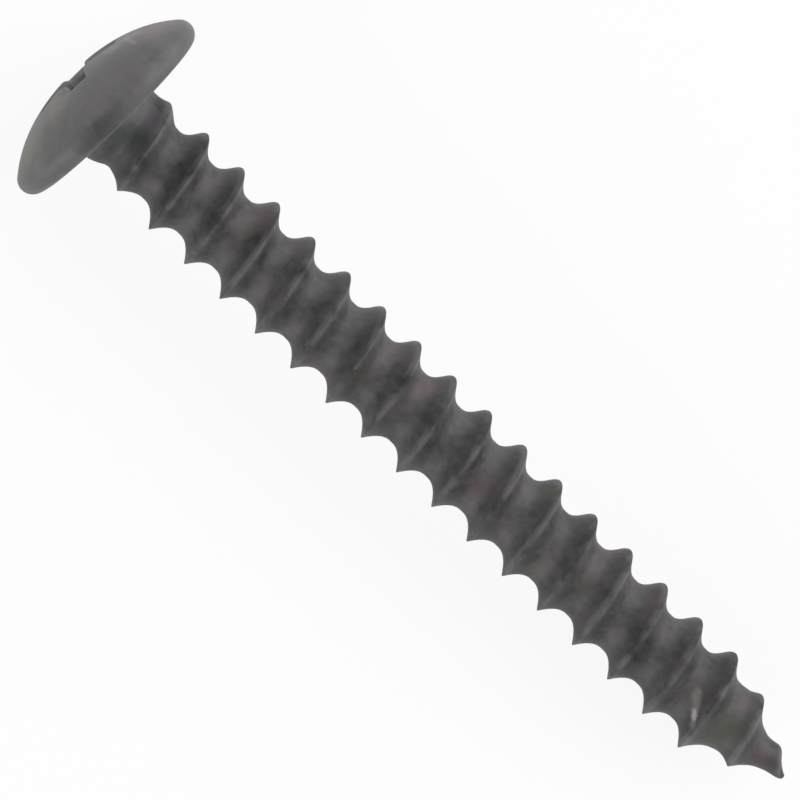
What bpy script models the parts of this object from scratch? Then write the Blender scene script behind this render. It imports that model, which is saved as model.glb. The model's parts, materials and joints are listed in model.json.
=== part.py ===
"""A cross-recessed sheet metal screw: low domed head, coarse rolled thread, gimlet point.

The screw is modelled standing on its head. Its axis is Z, the bearing face under the head is at z = 0,
the dome is below it and the point is at the top. At the end it is laid down as it comes to rest on a
table, on the rim of its head and on the crest of its thread, with the point towards +X.
"""

from math import atan2, ceil, cos, pi, radians, sin, tan

import bmesh
import bpy
import numpy as np
from mathutils import Matrix, Vector

MM = 0.001

# The whole screw
LENGTH = 40.4 * MM             # from the bearing face to the tip
# The head
HEAD_DIAMETER = 10.10 * MM
HEAD_HEIGHT = 2.52 * MM        # from the bearing face to the top of the dome
RIM_RADIUS = 0.56 * MM         # the round edge of the head
# The neck between the head and the thread
NECK_DIAMETER = 4.05 * MM      # where it meets the head
NECK_LENGTH = 2.6 * MM         # where it has thinned to the root of the thread
NECK_HOLLOW = 2.2              # 1 is a straight cone, more is a hollow curve
FILLET_RADIUS = 0.35 * MM      # between the neck and the bearing face
FILLET_SINK = 0.12 * MM        # how far its upper end lies under the neck's surface
# The thread
PITCH = 2.117 * MM             # 12 turns in an inch
CREST_DIAMETER = 4.67 * MM
ROOT_DIAMETER = 3.10 * MM
FLANK_ANGLE = radians(35)      # each flank from a plane square to the axis
ROOT_BLEND = 0.58 * MM         # how far the flanks are rounded into the root
THREAD_PHASE = 1.24 * MM       # the height of a crest on the +X side, above the bearing face
FIRST_CREST = 0.71             # the first turn's height, as a share of the full thread's
FIRST_CREST_END = 2.5 * MM     # where the thread starts to rise to its full height
FULL_THREAD = 3.35 * MM        # where it has its full height
FIRST_FULLNESS = 0.50          # under 1, the unfinished first turn is broader than the full thread
# The gimlet point
POINT_CREST_LENGTH = 4.35 * MM
POINT_CREST_POWER = 0.745      # 1 is a cone, less is a bullet
POINT_ROOT_LENGTH = 3.92 * MM
POINT_ROOT_POWER = 0.93
POINT_LEAN = 0.06 * MM         # how far the tip was rolled off the axis, towards -X
TIP_BLUNT = 0.10 * MM          # what is missing from a needle-sharp tip
# The cross recess in the dome
RECESS_SPAN = 4.7 * MM         # across two wings, at the top of the dome
RECESS_FLOOR_SPAN = 2.3 * MM   # across two wings, at the floor
RECESS_DEPTH = 2.1 * MM        # from the top of the dome to the floor
WING_WIDTH = 1.05 * MM         # at the top of the dome
WING_FLOOR_WIDTH = 0.80 * MM
CORE_DIAMETER = 1.9 * MM       # the round middle of the recess, at the top of the dome
CORE_FLOOR_DIAMETER = 1.25 * MM
CENTRE_POINT_DEPTH = 0.35 * MM  # the blunt cone in the floor
RECESS_TURN = radians(6)       # the wings from the X and Y axes

# How finely the round shapes are divided
HEAD_STEPS = 50                # not a multiple of four, so the head lies on a flat and not on a corner
THREAD_STEPS = 24
RIM_STEPS = 6
DOME_STEPS = 9
FILLET_STEPS = 4
SECTION_STATIONS = (0.0, 0.17, 0.42, 0.70, 1.0)  # from the crest to the middle of the root, in half pitches
SHANK_SINK = 0.5 * MM          # how far the shank runs into the head
RECESS_OVERSHOOT = 0.4 * MM    # how far the cutters stand out of the dome
WELD = 0.001 * MM

BLACK_PHOSPHATE = (0.070, 0.068, 0.067, 1.0)


def clear_scene():
    for thing in list(bpy.data.objects):
        bpy.data.objects.remove(thing, do_unlink=True)


def new_collection(name):
    collection = bpy.data.collections.new(name)
    bpy.context.scene.collection.children.link(collection)
    return collection


def new_object(name, mesh, collection):
    thing = bpy.data.objects.new(name, mesh)
    collection.objects.link(thing)
    return thing


def evaluated_mesh(thing):
    """A mesh of its own with the object's modifiers applied."""
    bpy.context.view_layer.update()
    graph = bpy.context.evaluated_depsgraph_get()
    return bpy.data.meshes.new_from_object(thing.evaluated_get(graph))


def profile_object(name, outline, collection):
    """An open outline of (radius, height) points in the XZ plane, ready for a Screw modifier."""
    mesh = bpy.data.meshes.new(name)
    points = [(radius, 0.0, height) for radius, height in outline]
    mesh.from_pydata(points, [(i, i + 1) for i in range(len(points) - 1)], [])
    return new_object(name, mesh, collection)


def add_screw(thing, steps, rise=0.0, turns=1):
    """Sweeps the outline about Z: a turned shape, or a thread where it rises with each turn."""
    sweep = thing.modifiers.new("sweep", "SCREW")
    sweep.axis = "Z"
    sweep.angle = 2 * pi
    sweep.steps = steps
    sweep.render_steps = steps
    sweep.screw_offset = rise
    sweep.iterations = turns
    sweep.use_merge_vertices = rise == 0.0
    sweep.merge_threshold = WELD
    return sweep


def arc(centre, radius, start, end, steps):
    """Points of (radius, height) along an arc, both ends included."""
    angles = np.linspace(start, end, steps + 1)
    return [(centre[0] + radius * cos(a), centre[1] + radius * sin(a)) for a in angles]


def head_outline():
    """From the middle of the shank, over the bearing face and round the rim, to the top of the dome."""
    rim_centre = (HEAD_DIAMETER / 2 - RIM_RADIUS, -RIM_RADIUS)
    # The dome is the arc that ends square to the axis and runs smoothly into the rim.
    below_rim = HEAD_HEIGHT - RIM_RADIUS
    dome_radius = rim_centre[0] ** 2 + below_rim**2 - RIM_RADIUS**2
    dome_radius /= 2 * (below_rim - RIM_RADIUS)
    dome_centre = (0.0, dome_radius - HEAD_HEIGHT)
    meeting = atan2(rim_centre[1] - dome_centre[1], rim_centre[0])
    # The fillet starts a little inside the shank, so that it comes out through the neck's surface.
    fillet_top = root_radius(FILLET_RADIUS) - FILLET_SINK
    fillet_centre = (fillet_top + FILLET_RADIUS, FILLET_RADIUS)
    outline = [(0.0, FILLET_RADIUS)]
    outline += arc(fillet_centre, FILLET_RADIUS, -pi, -pi / 2, FILLET_STEPS)
    outline += arc(rim_centre, RIM_RADIUS, pi / 2, meeting, RIM_STEPS)
    outline += arc(dome_centre, dome_radius, meeting, -pi / 2, DOME_STEPS)[1:-1]
    outline.append((0.0, -HEAD_HEIGHT))
    return outline


def depth_below_crest(away):
    """How deep the thread's section lies below the crest, at a distance from it along the axis."""
    flank = away / tan(FLANK_ANGLE)
    full = (CREST_DIAMETER - ROOT_DIAMETER) / 2
    blend = min(ROOT_BLEND, full)
    mix = np.clip(0.5 + 0.5 * (full - flank) / blend, 0, 1)
    return full * (1 - mix) + flank * mix - blend * mix * (1 - mix)


def thread_outline(crest_height):
    """One pitch of the thread, from root to crest to root, from the top down."""
    half = [PITCH / 2 * station for station in SECTION_STATIONS]
    heights = half[::-1] + [-h for h in half[1:]]
    return [(CREST_DIAMETER / 2 - depth_below_crest(abs(h)), crest_height + h) for h in heights]


def taper(height, length, power):
    """1 along the shank, falling to 0 at the tip over the point's length."""
    return np.clip((LENGTH - height) / length, 0, 1) ** power


def root_radius(height):
    """The body under the thread: the neck, the plain shank and the point."""
    neck = np.clip(1 - height / NECK_LENGTH, 0, 1) ** NECK_HOLLOW
    point = taper(height, POINT_ROOT_LENGTH, POINT_ROOT_POWER)
    return (ROOT_DIAMETER + (NECK_DIAMETER - ROOT_DIAMETER) * neck) / 2 * point


def crest_radius(height):
    """The top of the thread, which starts low at the neck and runs down the point to the tip."""
    rise = np.interp(height, [FIRST_CREST_END, FULL_THREAD], [FIRST_CREST, 1.0])
    full = (CREST_DIAMETER - ROOT_DIAMETER) / 2
    crest = ROOT_DIAMETER / 2 + full * rise
    return np.maximum(crest * taper(height, POINT_CREST_LENGTH, POINT_CREST_POWER), root_radius(height))


def form_thread(bm):
    """Draws the plain thread in to the neck and to the point, and leans the tip."""
    root, full = ROOT_DIAMETER / 2, (CREST_DIAMETER - ROOT_DIAMETER) / 2
    lean_start = LENGTH - POINT_CREST_LENGTH
    for vert in bm.verts:
        radius, height = vert.co.xy.length, vert.co.z
        if radius < WELD:
            continue
        share = np.clip((radius - root) / full, 0, 1)
        share **= np.interp(height, [THREAD_PHASE, FIRST_CREST_END], [FIRST_FULLNESS, 1.0])
        body = root_radius(height)
        vert.co.xy *= (body + share * (crest_radius(height) - body)) / radius
        vert.co.x -= POINT_LEAN * np.clip((height - lean_start) / POINT_CREST_LENGTH, 0, 1) ** 2


def cut_square(bm, height, keep_above):
    """Cuts the open thread off square and closes it with a flat face."""
    geometry = bm.verts[:] + bm.edges[:] + bm.faces[:]
    cut = bmesh.ops.bisect_plane(
        bm, geom=geometry, dist=WELD, plane_co=(0, 0, height), plane_no=(0, 0, 1),
        clear_inner=keep_above, clear_outer=not keep_above,
    )
    rim = [e for e in cut["geom_cut"] if isinstance(e, bmesh.types.BMEdge)]
    bmesh.ops.holes_fill(bm, edges=rim, sides=0)


def make_shank(collection):
    """The threaded shank: one pitch swept up as a right-hand thread, cut to length, then formed."""
    first_crest = THREAD_PHASE - 2 * PITCH
    sweep = profile_object("thread_sweep", thread_outline(first_crest), collection)
    add_screw(sweep, THREAD_STEPS, rise=PITCH, turns=ceil((LENGTH - first_crest) / PITCH) + 1)
    mesh = evaluated_mesh(sweep)
    bpy.data.objects.remove(sweep)
    bm = bmesh.new()
    bm.from_mesh(mesh)
    bmesh.ops.remove_doubles(bm, verts=bm.verts, dist=WELD)
    cut_square(bm, -SHANK_SINK, keep_above=True)
    cut_square(bm, LENGTH - TIP_BLUNT, keep_above=False)
    form_thread(bm)
    bmesh.ops.recalc_face_normals(bm, faces=bm.faces)
    bm.to_mesh(mesh)
    bm.free()
    return new_object("shank", mesh, collection)


def make_wing(name, turn, collection):
    """One bar of the cross: wide and long at the dome, narrower and shorter at the floor."""
    floor = RECESS_DEPTH - HEAD_HEIGHT
    mouth = -HEAD_HEIGHT - RECESS_OVERSHOOT
    # The sides keep their slope where the bar stands out of the dome.
    out = 1 + RECESS_OVERSHOOT / RECESS_DEPTH
    mouth_span = RECESS_FLOOR_SPAN + (RECESS_SPAN - RECESS_FLOOR_SPAN) * out
    mouth_width = WING_FLOOR_WIDTH + (WING_WIDTH - WING_FLOOR_WIDTH) * out
    bm = bmesh.new()
    bmesh.ops.create_cube(bm, size=1.0)
    for vert in bm.verts:
        at_floor = vert.co.z > 0
        vert.co.x *= RECESS_FLOOR_SPAN if at_floor else mouth_span
        vert.co.y *= WING_FLOOR_WIDTH if at_floor else mouth_width
        vert.co.z = floor if at_floor else mouth
    bmesh.ops.rotate(bm, verts=bm.verts, matrix=Matrix.Rotation(turn, 3, "Z"))
    mesh = bpy.data.meshes.new(name)
    bm.to_mesh(mesh)
    bm.free()
    return new_object(name, mesh, collection)


def make_core(collection):
    """The round middle of the recess, which ends in a blunt cone."""
    floor = RECESS_DEPTH - HEAD_HEIGHT
    slope = (CORE_DIAMETER - CORE_FLOOR_DIAMETER) / 2 / RECESS_DEPTH
    outline = [
        (0.0, floor + CENTRE_POINT_DEPTH),
        (CORE_FLOOR_DIAMETER / 2, floor),
        (CORE_DIAMETER / 2 + slope * RECESS_OVERSHOOT, -HEAD_HEIGHT - RECESS_OVERSHOOT),
        (0.0, -HEAD_HEIGHT - RECESS_OVERSHOOT),
    ]
    core = profile_object("recess_core", outline, collection)
    add_screw(core, 20)
    return core


def add_boolean(thing, operation, tool):
    step = thing.modifiers.new(f"{operation.lower()}_{tool.name}", "BOOLEAN")
    step.operation = operation
    step.solver = "EXACT"
    step.object = tool


def hide_tool(tool):
    tool.hide_render = True
    tool.display_type = "WIRE"


def lowest(points, tilt):
    """The lowest height of points of (along the axis, towards the floor) once the head is raised."""
    return float(np.max(points[:, 1] * cos(tilt) + points[:, 0] * sin(tilt)))


def resting_tilt(mesh):
    """How far the axis slopes down to the point when the rim and the thread both touch the table."""
    points = np.array([(v.co.z, -v.co.y) for v in mesh.vertices])
    head, shank = points[points[:, 0] <= 0], points[points[:, 0] > 0]
    low, high = 0.0, pi / 4
    for _ in range(50):
        middle = (low + high) / 2
        if lowest(shank, middle) < lowest(head, middle):
            low = middle
        else:
            high = middle
    return (low + high) / 2


def lay_down(screw):
    """Turns the screw's X to +Y and its point to +X, and sets its box on the middle of the floor."""
    tilt = resting_tilt(screw.data)
    across = Vector((0, 1, 0))
    up = Vector((sin(tilt), 0, cos(tilt)))
    along = Vector((cos(tilt), 0, -sin(tilt)))
    turn = Matrix((across, up, along)).transposed()
    points = np.array([turn @ v.co for v in screw.data.vertices])
    low, high = points.min(axis=0), points.max(axis=0)
    place = Vector((-(low[0] + high[0]) / 2, -(low[1] + high[1]) / 2, -low[2]))
    screw.matrix_world = Matrix.Translation(place) @ turn.to_4x4()
    print("resting tilt", round(tilt * 180 / pi, 3), "degrees")


def black_phosphate():
    """Steel with a thin dark grey phosphate coat, dull and slightly oily."""
    material = bpy.data.materials.new("black_phosphate")
    material.use_nodes = True
    shader = material.node_tree.nodes["Principled BSDF"]
    shader.inputs["Base Color"].default_value = BLACK_PHOSPHATE
    shader.inputs["Metallic"].default_value = 0.6
    shader.inputs["Roughness"].default_value = 0.5
    material.diffuse_color = BLACK_PHOSPHATE
    return material


def make_screw():
    parts = new_collection("sheet_metal_screw")
    cutters = new_collection("cutters")
    screw = profile_object("screw", head_outline(), parts)
    add_screw(screw, HEAD_STEPS)
    tools = [make_shank(cutters)]
    tools += [make_wing(f"recess_wing_{i + 1}", RECESS_TURN + i * pi / 2, cutters) for i in range(2)]
    tools.append(make_core(cutters))
    add_boolean(screw, "UNION", tools[0])
    for cutter in tools[1:]:
        add_boolean(screw, "DIFFERENCE", cutter)
    screw.data = evaluated_mesh(screw)
    screw.modifiers.clear()
    screw.data.shade_smooth()
    screw.data.set_sharp_from_angle(angle=radians(30))
    screw.data.materials.clear()
    screw.data.materials.append(black_phosphate())
    lay_down(screw)
    for tool in tools:
        tool.parent = screw
        hide_tool(tool)
    return screw


clear_scene()
screw = make_screw()
screw.data.calc_loop_triangles()
print("screw:", len(screw.data.vertices), "vertices,", len(screw.data.loop_triangles), "triangles")
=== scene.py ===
# %% [markdown]
# # A sheet metal screw, photographed lying on white
#
# The real screw is made in two strokes and a roll. A heading machine upsets the end of a steel wire into
# a low dome and punches a cross into it. Two flat dies then roll the blank between them, and their ridges
# press the thread and its sharp point out of the shank. Last comes a zinc phosphate bath and oil, which
# turn the bright steel a dull dark grey.
#
# The screw is one piece, so this lesson makes one mesh: first the threaded shank, then the head, then the
# weld between them. After that come the finish, the white floor, the light and the camera.
#
# The packed CAD model is the frame for everything here. It is loaded first, and its box is kept, because
# the finished screw has to stay inside it.

# %% Load the packed frame
import json
from math import atan2, ceil, cos, pi, radians, sin, tan

import bmesh
import bpy
import numpy as np
from mathutils import Matrix, Vector
from mathutils.bvhtree import BVHTree


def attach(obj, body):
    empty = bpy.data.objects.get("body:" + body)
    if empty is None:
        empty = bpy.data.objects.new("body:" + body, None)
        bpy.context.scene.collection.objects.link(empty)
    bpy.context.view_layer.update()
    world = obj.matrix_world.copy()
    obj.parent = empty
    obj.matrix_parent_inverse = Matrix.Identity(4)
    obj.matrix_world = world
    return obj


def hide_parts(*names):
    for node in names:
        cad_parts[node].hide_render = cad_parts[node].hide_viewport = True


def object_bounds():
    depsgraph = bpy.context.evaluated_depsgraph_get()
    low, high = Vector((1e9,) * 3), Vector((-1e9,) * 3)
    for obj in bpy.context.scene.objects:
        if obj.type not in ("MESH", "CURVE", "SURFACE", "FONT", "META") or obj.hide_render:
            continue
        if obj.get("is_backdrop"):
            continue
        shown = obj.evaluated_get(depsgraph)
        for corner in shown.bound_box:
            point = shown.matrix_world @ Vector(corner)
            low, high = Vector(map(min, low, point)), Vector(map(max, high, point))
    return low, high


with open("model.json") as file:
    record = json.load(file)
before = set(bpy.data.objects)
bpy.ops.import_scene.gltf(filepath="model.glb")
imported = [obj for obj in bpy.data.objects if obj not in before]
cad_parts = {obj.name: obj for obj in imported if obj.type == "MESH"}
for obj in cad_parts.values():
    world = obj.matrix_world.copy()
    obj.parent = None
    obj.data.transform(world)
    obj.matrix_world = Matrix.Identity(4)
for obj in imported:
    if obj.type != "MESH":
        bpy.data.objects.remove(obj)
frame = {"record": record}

cad_low, cad_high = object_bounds()
MM = 0.001
print("the CAD box is", [round(side / MM, 3) for side in cad_high - cad_low], "mm")

# %% [markdown]
# ## Where the screw lies
#
# It is easiest to make a screw standing on its head: its axis is Z, the bearing face under the head is at
# height zero and the point is at the top. The frame says where that bearing face lies once the screw has
# come to rest on its rim and its thread, so one matrix carries the standing screw to its place.

# %% The matrix from the standing screw to the resting one
MOUNT_OFF_AXIS = 3.4 * MM      # the record's point on the bearing face, above the screw's axis

mount = frame["record"]["mounts"][0]
along = Vector(mount["axis"]).normalized()
across = Vector((0, 1, 0))
upward = along.cross(across)
foot = Vector(mount["pos_m"]) - upward * MOUNT_OFF_AXIS
lay_down = Matrix.Translation(foot) @ Matrix((across, upward, along)).transposed().to_4x4()
print("the bearing face's middle is at", [round(c / MM, 3) for c in foot], "mm")

# %% [markdown]
# ## The sizes
#
# The sizes are those of the solid model, so that the two agree, and each is written where it is first
# needed. The radii are a hair smaller than the solid's: its box is measured over flat facets, and a rounder
# skin of the same radius would stand out of it. The length and the thread come first.

# %% The sizes of the thread
LENGTH = 40.4 * MM             # from the bearing face to the tip
PITCH = 2.117 * MM             # 12 turns in an inch
CREST_DIAMETER = 4.63 * MM
ROOT_DIAMETER = 3.10 * MM
THREAD_HEIGHT = (CREST_DIAMETER - ROOT_DIAMETER) / 2
FLANK_ANGLE = radians(35)      # each flank from a plane square to the axis
ROOT_BLEND = 0.58 * MM         # how far the flanks are rounded into the root
THREAD_PHASE = 1.24 * MM       # the height of a crest on the +X side
print("the thread takes", round(LENGTH / PITCH, 1), "turns from the head to the tip")

# %% [markdown]
# ## The thread
#
# A rolled thread is one section carried up a helix. The Screw modifier does exactly that, so the section
# is drawn once, over a single pitch, and swept. It rises by one pitch for each turn, to the right, as on
# an ordinary screw. The section has a crest that is very slightly round, because the metal never quite
# fills the die, then two straight flanks and a broad round root. Where a flank runs into the root, a
# smooth minimum of the two depths takes the corner away.

# %% One pitch of the thread, in section
CREST_ROUND = 0.020 * MM
# The points of half a section, as shares of half a pitch from the crest. They lie closest near the crest.
SECTION_STATIONS = (0.0, 0.02, 0.05, 0.09, 0.15, 0.22, 0.30, 0.38, 0.46, 0.54, 0.63, 0.74, 0.87, 1.0)


def depth_below_crest(away):
    """How deep the section lies below the crest, at a distance from it along the axis."""
    flank = ((away**2 + CREST_ROUND**2) ** 0.5 - CREST_ROUND) / tan(FLANK_ANGLE)
    mix = np.clip(0.5 + 0.5 * (THREAD_HEIGHT - flank) / ROOT_BLEND, 0, 1)
    return THREAD_HEIGHT * (1 - mix) + flank * mix - ROOT_BLEND * mix * (1 - mix)


def thread_outline(crest_height):
    """Points of (radius, height) from root to crest to root, from the top down."""
    half = [PITCH / 2 * station for station in SECTION_STATIONS]
    heights = half[::-1] + [-h for h in half[1:]]
    return [(CREST_DIAMETER / 2 - depth_below_crest(abs(h)), crest_height + h) for h in heights]


print("one pitch of the thread has", len(thread_outline(0.0)), "points")

# %% [markdown]
# ## Neck and point
#
# The swept thread is the same all the way up, and a real one isn't. By the head it is only half formed,
# on a neck that widens into a cone. At the far end both the crest and the root run down to a sharp gimlet
# point, each by a curve of its own. Each height gets a root radius and a crest radius, and every point of
# the thread is moved between the two.

# %% The root and the crest along the screw
NECK_DIAMETER = 4.05 * MM
NECK_LENGTH = 2.6 * MM
NECK_HOLLOW = 2.2              # 1 is a straight cone, more is a hollow curve
FIRST_CREST = 0.71             # the first turn's height, as a share of the full thread's
FIRST_CREST_END = 2.5 * MM     # where the thread starts to rise to its full height
FULL_THREAD = 3.35 * MM        # where it has its full height
FIRST_FULLNESS = 0.50          # under 1, the unfinished first turn is broader than the full thread
POINT_CREST_LENGTH = 4.35 * MM
POINT_CREST_POWER = 0.745      # 1 is a cone, less is a bullet
POINT_ROOT_LENGTH = 3.92 * MM
POINT_ROOT_POWER = 0.93
TIP_BLUNT = 0.10 * MM


def taper(height, length, power):
    """1 along the shank, falling to 0 at the tip over the point's length."""
    return np.clip((LENGTH - height) / length, 0, 1) ** power


def root_radius(height):
    neck = np.clip(1 - height / NECK_LENGTH, 0, 1) ** NECK_HOLLOW
    body = (ROOT_DIAMETER + (NECK_DIAMETER - ROOT_DIAMETER) * neck) / 2
    return body * taper(height, POINT_ROOT_LENGTH, POINT_ROOT_POWER)


def crest_radius(height):
    rise = np.interp(height, [FIRST_CREST_END, FULL_THREAD], [FIRST_CREST, 1.0])
    crest = ROOT_DIAMETER / 2 + THREAD_HEIGHT * rise
    return np.maximum(crest * taper(height, POINT_CREST_LENGTH, POINT_CREST_POWER), root_radius(height))


print("the root is", round(2 * root_radius(20 * MM) / MM, 2), "mm across halfway")

# %% [markdown]
# ## Building the shank
#
# The section becomes a short line of edges in the plane of X and Z, and the Screw modifier turns it round
# the Z axis while it climbs. It could be done in a loop with sines and cosines too, but the modifier is
# shorter and its settings are the words a maker would use: angle, pitch, turns. The sweep starts two turns
# early, below the head's face, so that there is thread all round where it is cut.

# %% Sweep the thread
THREAD_STEPS = 84              # divisions of one turn
SHANK_SINK = 0.5 * MM          # how far the shank runs into the head
WELD = 0.0005 * MM             # points closer than this are one point
TURNS_BELOW = 2                # turns that are swept below the first crest and cut away


def evaluated_mesh(thing):
    """A mesh of its own with the object's modifiers applied."""
    bpy.context.view_layer.update()
    graph = bpy.context.evaluated_depsgraph_get()
    return bpy.data.meshes.new_from_object(thing.evaluated_get(graph))


def new_object(name, mesh):
    thing = bpy.data.objects.new(name, mesh)
    bpy.context.scene.collection.objects.link(thing)
    return thing


def sweep_thread():
    first_crest = THREAD_PHASE - TURNS_BELOW * PITCH
    points = [(radius, 0.0, height) for radius, height in thread_outline(first_crest)]
    outline = bpy.data.meshes.new("thread_outline")
    outline.from_pydata(points, [(i, i + 1) for i in range(len(points) - 1)], [])
    thing = new_object("thread_sweep", outline)
    sweep = thing.modifiers.new("sweep", "SCREW")
    sweep.axis = "Z"
    sweep.angle = 2 * pi
    sweep.steps = THREAD_STEPS
    sweep.render_steps = THREAD_STEPS
    sweep.screw_offset = PITCH
    sweep.iterations = ceil((LENGTH - first_crest) / PITCH) + 1
    sweep.use_merge_vertices = False
    mesh = evaluated_mesh(thing)
    bpy.data.objects.remove(thing)
    return mesh


thread_mesh = sweep_thread()
print("the plain thread has", len(thread_mesh.polygons), "faces")

# %% [markdown]
# The sweep leaves each turn with its own copy of the seam, so the turns are welded first. The open tube is
# then cut off square at both ends and closed, which makes it a solid. Last, each point is drawn in: how far
# it stood out of the plain root tells its share of the thread, and that share is laid between the two radii
# of its height. An exponent under 1 makes the unfinished first turn broader.

# %% Cut it to length and form the neck and the point


def cut_square(bm, height, keep_above):
    """Cuts the open thread off square and closes it with a flat face."""
    cut = bmesh.ops.bisect_plane(
        bm, geom=bm.verts[:] + bm.edges[:] + bm.faces[:], dist=WELD,
        plane_co=(0, 0, height), plane_no=(0, 0, 1),
        clear_inner=keep_above, clear_outer=not keep_above,
    )
    rim = [e for e in cut["geom_cut"] if isinstance(e, bmesh.types.BMEdge)]
    bmesh.ops.holes_fill(bm, edges=rim, sides=0)


def form_thread(bm):
    """Draws the plain thread in to the neck and the point."""
    for vert in bm.verts:
        radius, height = vert.co.xy.length, vert.co.z
        if radius < WELD:
            continue
        share = np.clip((radius - ROOT_DIAMETER / 2) / THREAD_HEIGHT, 0, 1)
        share **= np.interp(height, [THREAD_PHASE, FIRST_CREST_END], [FIRST_FULLNESS, 1.0])
        body = root_radius(height)
        vert.co.xy *= (body + share * (crest_radius(height) - body)) / radius


def make_shank(mesh):
    bm = bmesh.new()
    bm.from_mesh(mesh)
    bmesh.ops.remove_doubles(bm, verts=bm.verts, dist=WELD)
    cut_square(bm, -SHANK_SINK, keep_above=True)
    cut_square(bm, LENGTH - TIP_BLUNT, keep_above=False)
    form_thread(bm)
    bmesh.ops.recalc_face_normals(bm, faces=bm.faces)
    bm.to_mesh(mesh)
    bm.free()
    return new_object("shank", mesh)


shank = make_shank(thread_mesh)
print("the shank has", len(shank.data.polygons), "faces")

# %% [markdown]
# ## The head as rings
#
# A turned shape with a cross punched into it could be made with a Boolean, but that leaves a knife-sharp
# lip and long thin faces on a smooth dome. Here the head is one skin of rings instead. The innermost
# rings follow the cross, up its sloping walls and over a rounded lip. The next ones change, step by step,
# from a cross to a circle, and the rest run round the rim and back under the head to the neck. Each ring
# has the same number of points, so neighbours are simply joined.

# %% The cross recess, seen from above
RECESS_SPAN = 4.7 * MM         # across two wings, at the top of the dome
RECESS_FLOOR_SPAN = 2.3 * MM
RECESS_DEPTH = 2.1 * MM
WING_WIDTH = 1.00 * MM
WING_FLOOR_WIDTH = 0.80 * MM
CORE_DIAMETER = 1.9 * MM       # the round middle of the recess
CORE_FLOOR_DIAMETER = 1.25 * MM
CENTRE_POINT_DEPTH = 0.35 * MM
RECESS_TURN = radians(6)       # how far the cross is turned about the axis
WING_CORNER = 0.10 * MM        # the radius at a wing's corners
CORNER_STEPS = 8               # points round the corner of a wing
CORE_STEPS = 9                 # points along the core between two wings
RING_POINTS = 192              # points in a ring, a quarter of them for each wing


def cross_outline(span, width, core):
    """A ring of points along a cross with square wings and a round middle, evenly spaced in each quarter."""
    tip, side, middle = span / 2, width / 2, core / 2
    turn = np.linspace(0, pi / 2, CORNER_STEPS)
    quarter = [(tip, 0.0)]
    quarter += [(tip - WING_CORNER * (1 - cos(a)), side - WING_CORNER * (1 - sin(a))) for a in turn]
    start = np.arcsin(side / middle)
    quarter += [(middle * cos(a), middle * sin(a)) for a in np.linspace(start, pi / 2 - start, CORE_STEPS)]
    mirrored = [(y, x) for x, y in quarter[CORNER_STEPS:0:-1]]
    quarter = np.array(quarter + mirrored + [(0.0, tip)])
    walked = np.concatenate([[0], np.cumsum(np.linalg.norm(np.diff(quarter, axis=0), axis=1))])
    stops = np.linspace(0, walked[-1], RING_POINTS // 4, endpoint=False)
    x = np.interp(stops, walked, quarter[:, 0])
    y = np.interp(stops, walked, quarter[:, 1])
    ring = []
    for wing in range(4):
        angle = RECESS_TURN + wing * pi / 2
        ring.append(np.stack([x * cos(angle) - y * sin(angle), x * sin(angle) + y * cos(angle)], axis=1))
    return np.concatenate(ring)


mouth_outline = cross_outline(RECESS_SPAN, WING_WIDTH, CORE_DIAMETER)
floor_outline = cross_outline(RECESS_FLOOR_SPAN, WING_FLOOR_WIDTH, CORE_FLOOR_DIAMETER)
print("the cross reaches", round(float(np.abs(mouth_outline).max()) / MM, 2), "mm from the axis")

# %% [markdown]
# The dome is part of a large sphere that runs smoothly into the round rim. Its radius follows from the
# height and width of the head, so it is worked out rather than guessed. A real dome is a little fuller than
# a sphere halfway out, so a gentle bulge is added that is zero at the middle and at the rim. The bulge and
# a tenth of a millimetre of the height aren't in the solid, but the real head's outline asks for them.

# %% The dome and the ring maker
HEAD_RADIUS = 5.0 * MM
HEAD_HEIGHT = 2.615 * MM
RIM_RADIUS = 0.61 * MM         # the round edge of the head
RIM_X = HEAD_RADIUS - RIM_RADIUS
BELOW_RIM = HEAD_HEIGHT - RIM_RADIUS
DOME_RADIUS = (RIM_X**2 + BELOW_RIM**2 - RIM_RADIUS**2) / (2 * (BELOW_RIM - RIM_RADIUS))
MEETING = atan2(-RIM_RADIUS - (DOME_RADIUS - HEAD_HEIGHT), RIM_X)
DOME_EDGE = DOME_RADIUS * cos(MEETING)
DOME_FULLNESS = 0.08 * MM      # how far the bulge stands out of the sphere at its fullest


def dome_height(xy):
    """The dome's surface over points of the plane, below the bearing face."""
    out = np.linalg.norm(xy, axis=1)
    sphere = DOME_RADIUS - HEAD_HEIGHT - np.sqrt(DOME_RADIUS**2 - out**2)
    share = np.clip((out / DOME_EDGE) ** 2, 0, 1)
    return sphere - DOME_FULLNESS * 4 * share * (1 - share)


def with_height(xy, z):
    return np.column_stack([xy, np.broadcast_to(z, len(xy))])


def circle(radius):
    angles = RECESS_TURN + 2 * pi * np.arange(RING_POINTS) / RING_POINTS
    return radius * np.column_stack([np.cos(angles), np.sin(angles)])


print("the dome's radius is", round(DOME_RADIUS / MM, 2), "mm")

# %% [markdown]
# The inner rings climb out of the recess: over its floor, which sinks to a blunt cone in the middle, up the
# sloping walls, round the lip that the punch leaves, and out over the dome until the cross has become a
# circle. The walls end on the dome, and how high that is depends on how far out the wall stands there, so
# the depth is corrected a few times until it settles. The lip is a curve from the top of the wall to a
# point out on the dome, and both its ends run towards the sharp corner that it takes away.

# %% The rings of the recess
LIP_ROUND = 0.26 * MM          # the lip that the punch leaves is not quite sharp
FLOOR_RINGS, WALL_RINGS, LIP_RINGS, CHANGE_RINGS = 5, 9, 5, 12
CHANGE_RADIUS = 3.1 * MM       # where the rings have become circles
DEPTH_PASSES = 6


def wall_point(depth):
    """The recess's outline at a depth below the top of the dome, one depth for each point of the ring."""
    share = (depth / RECESS_DEPTH)[:, None]
    return mouth_outline * (1 - share) + floor_outline * share


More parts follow.
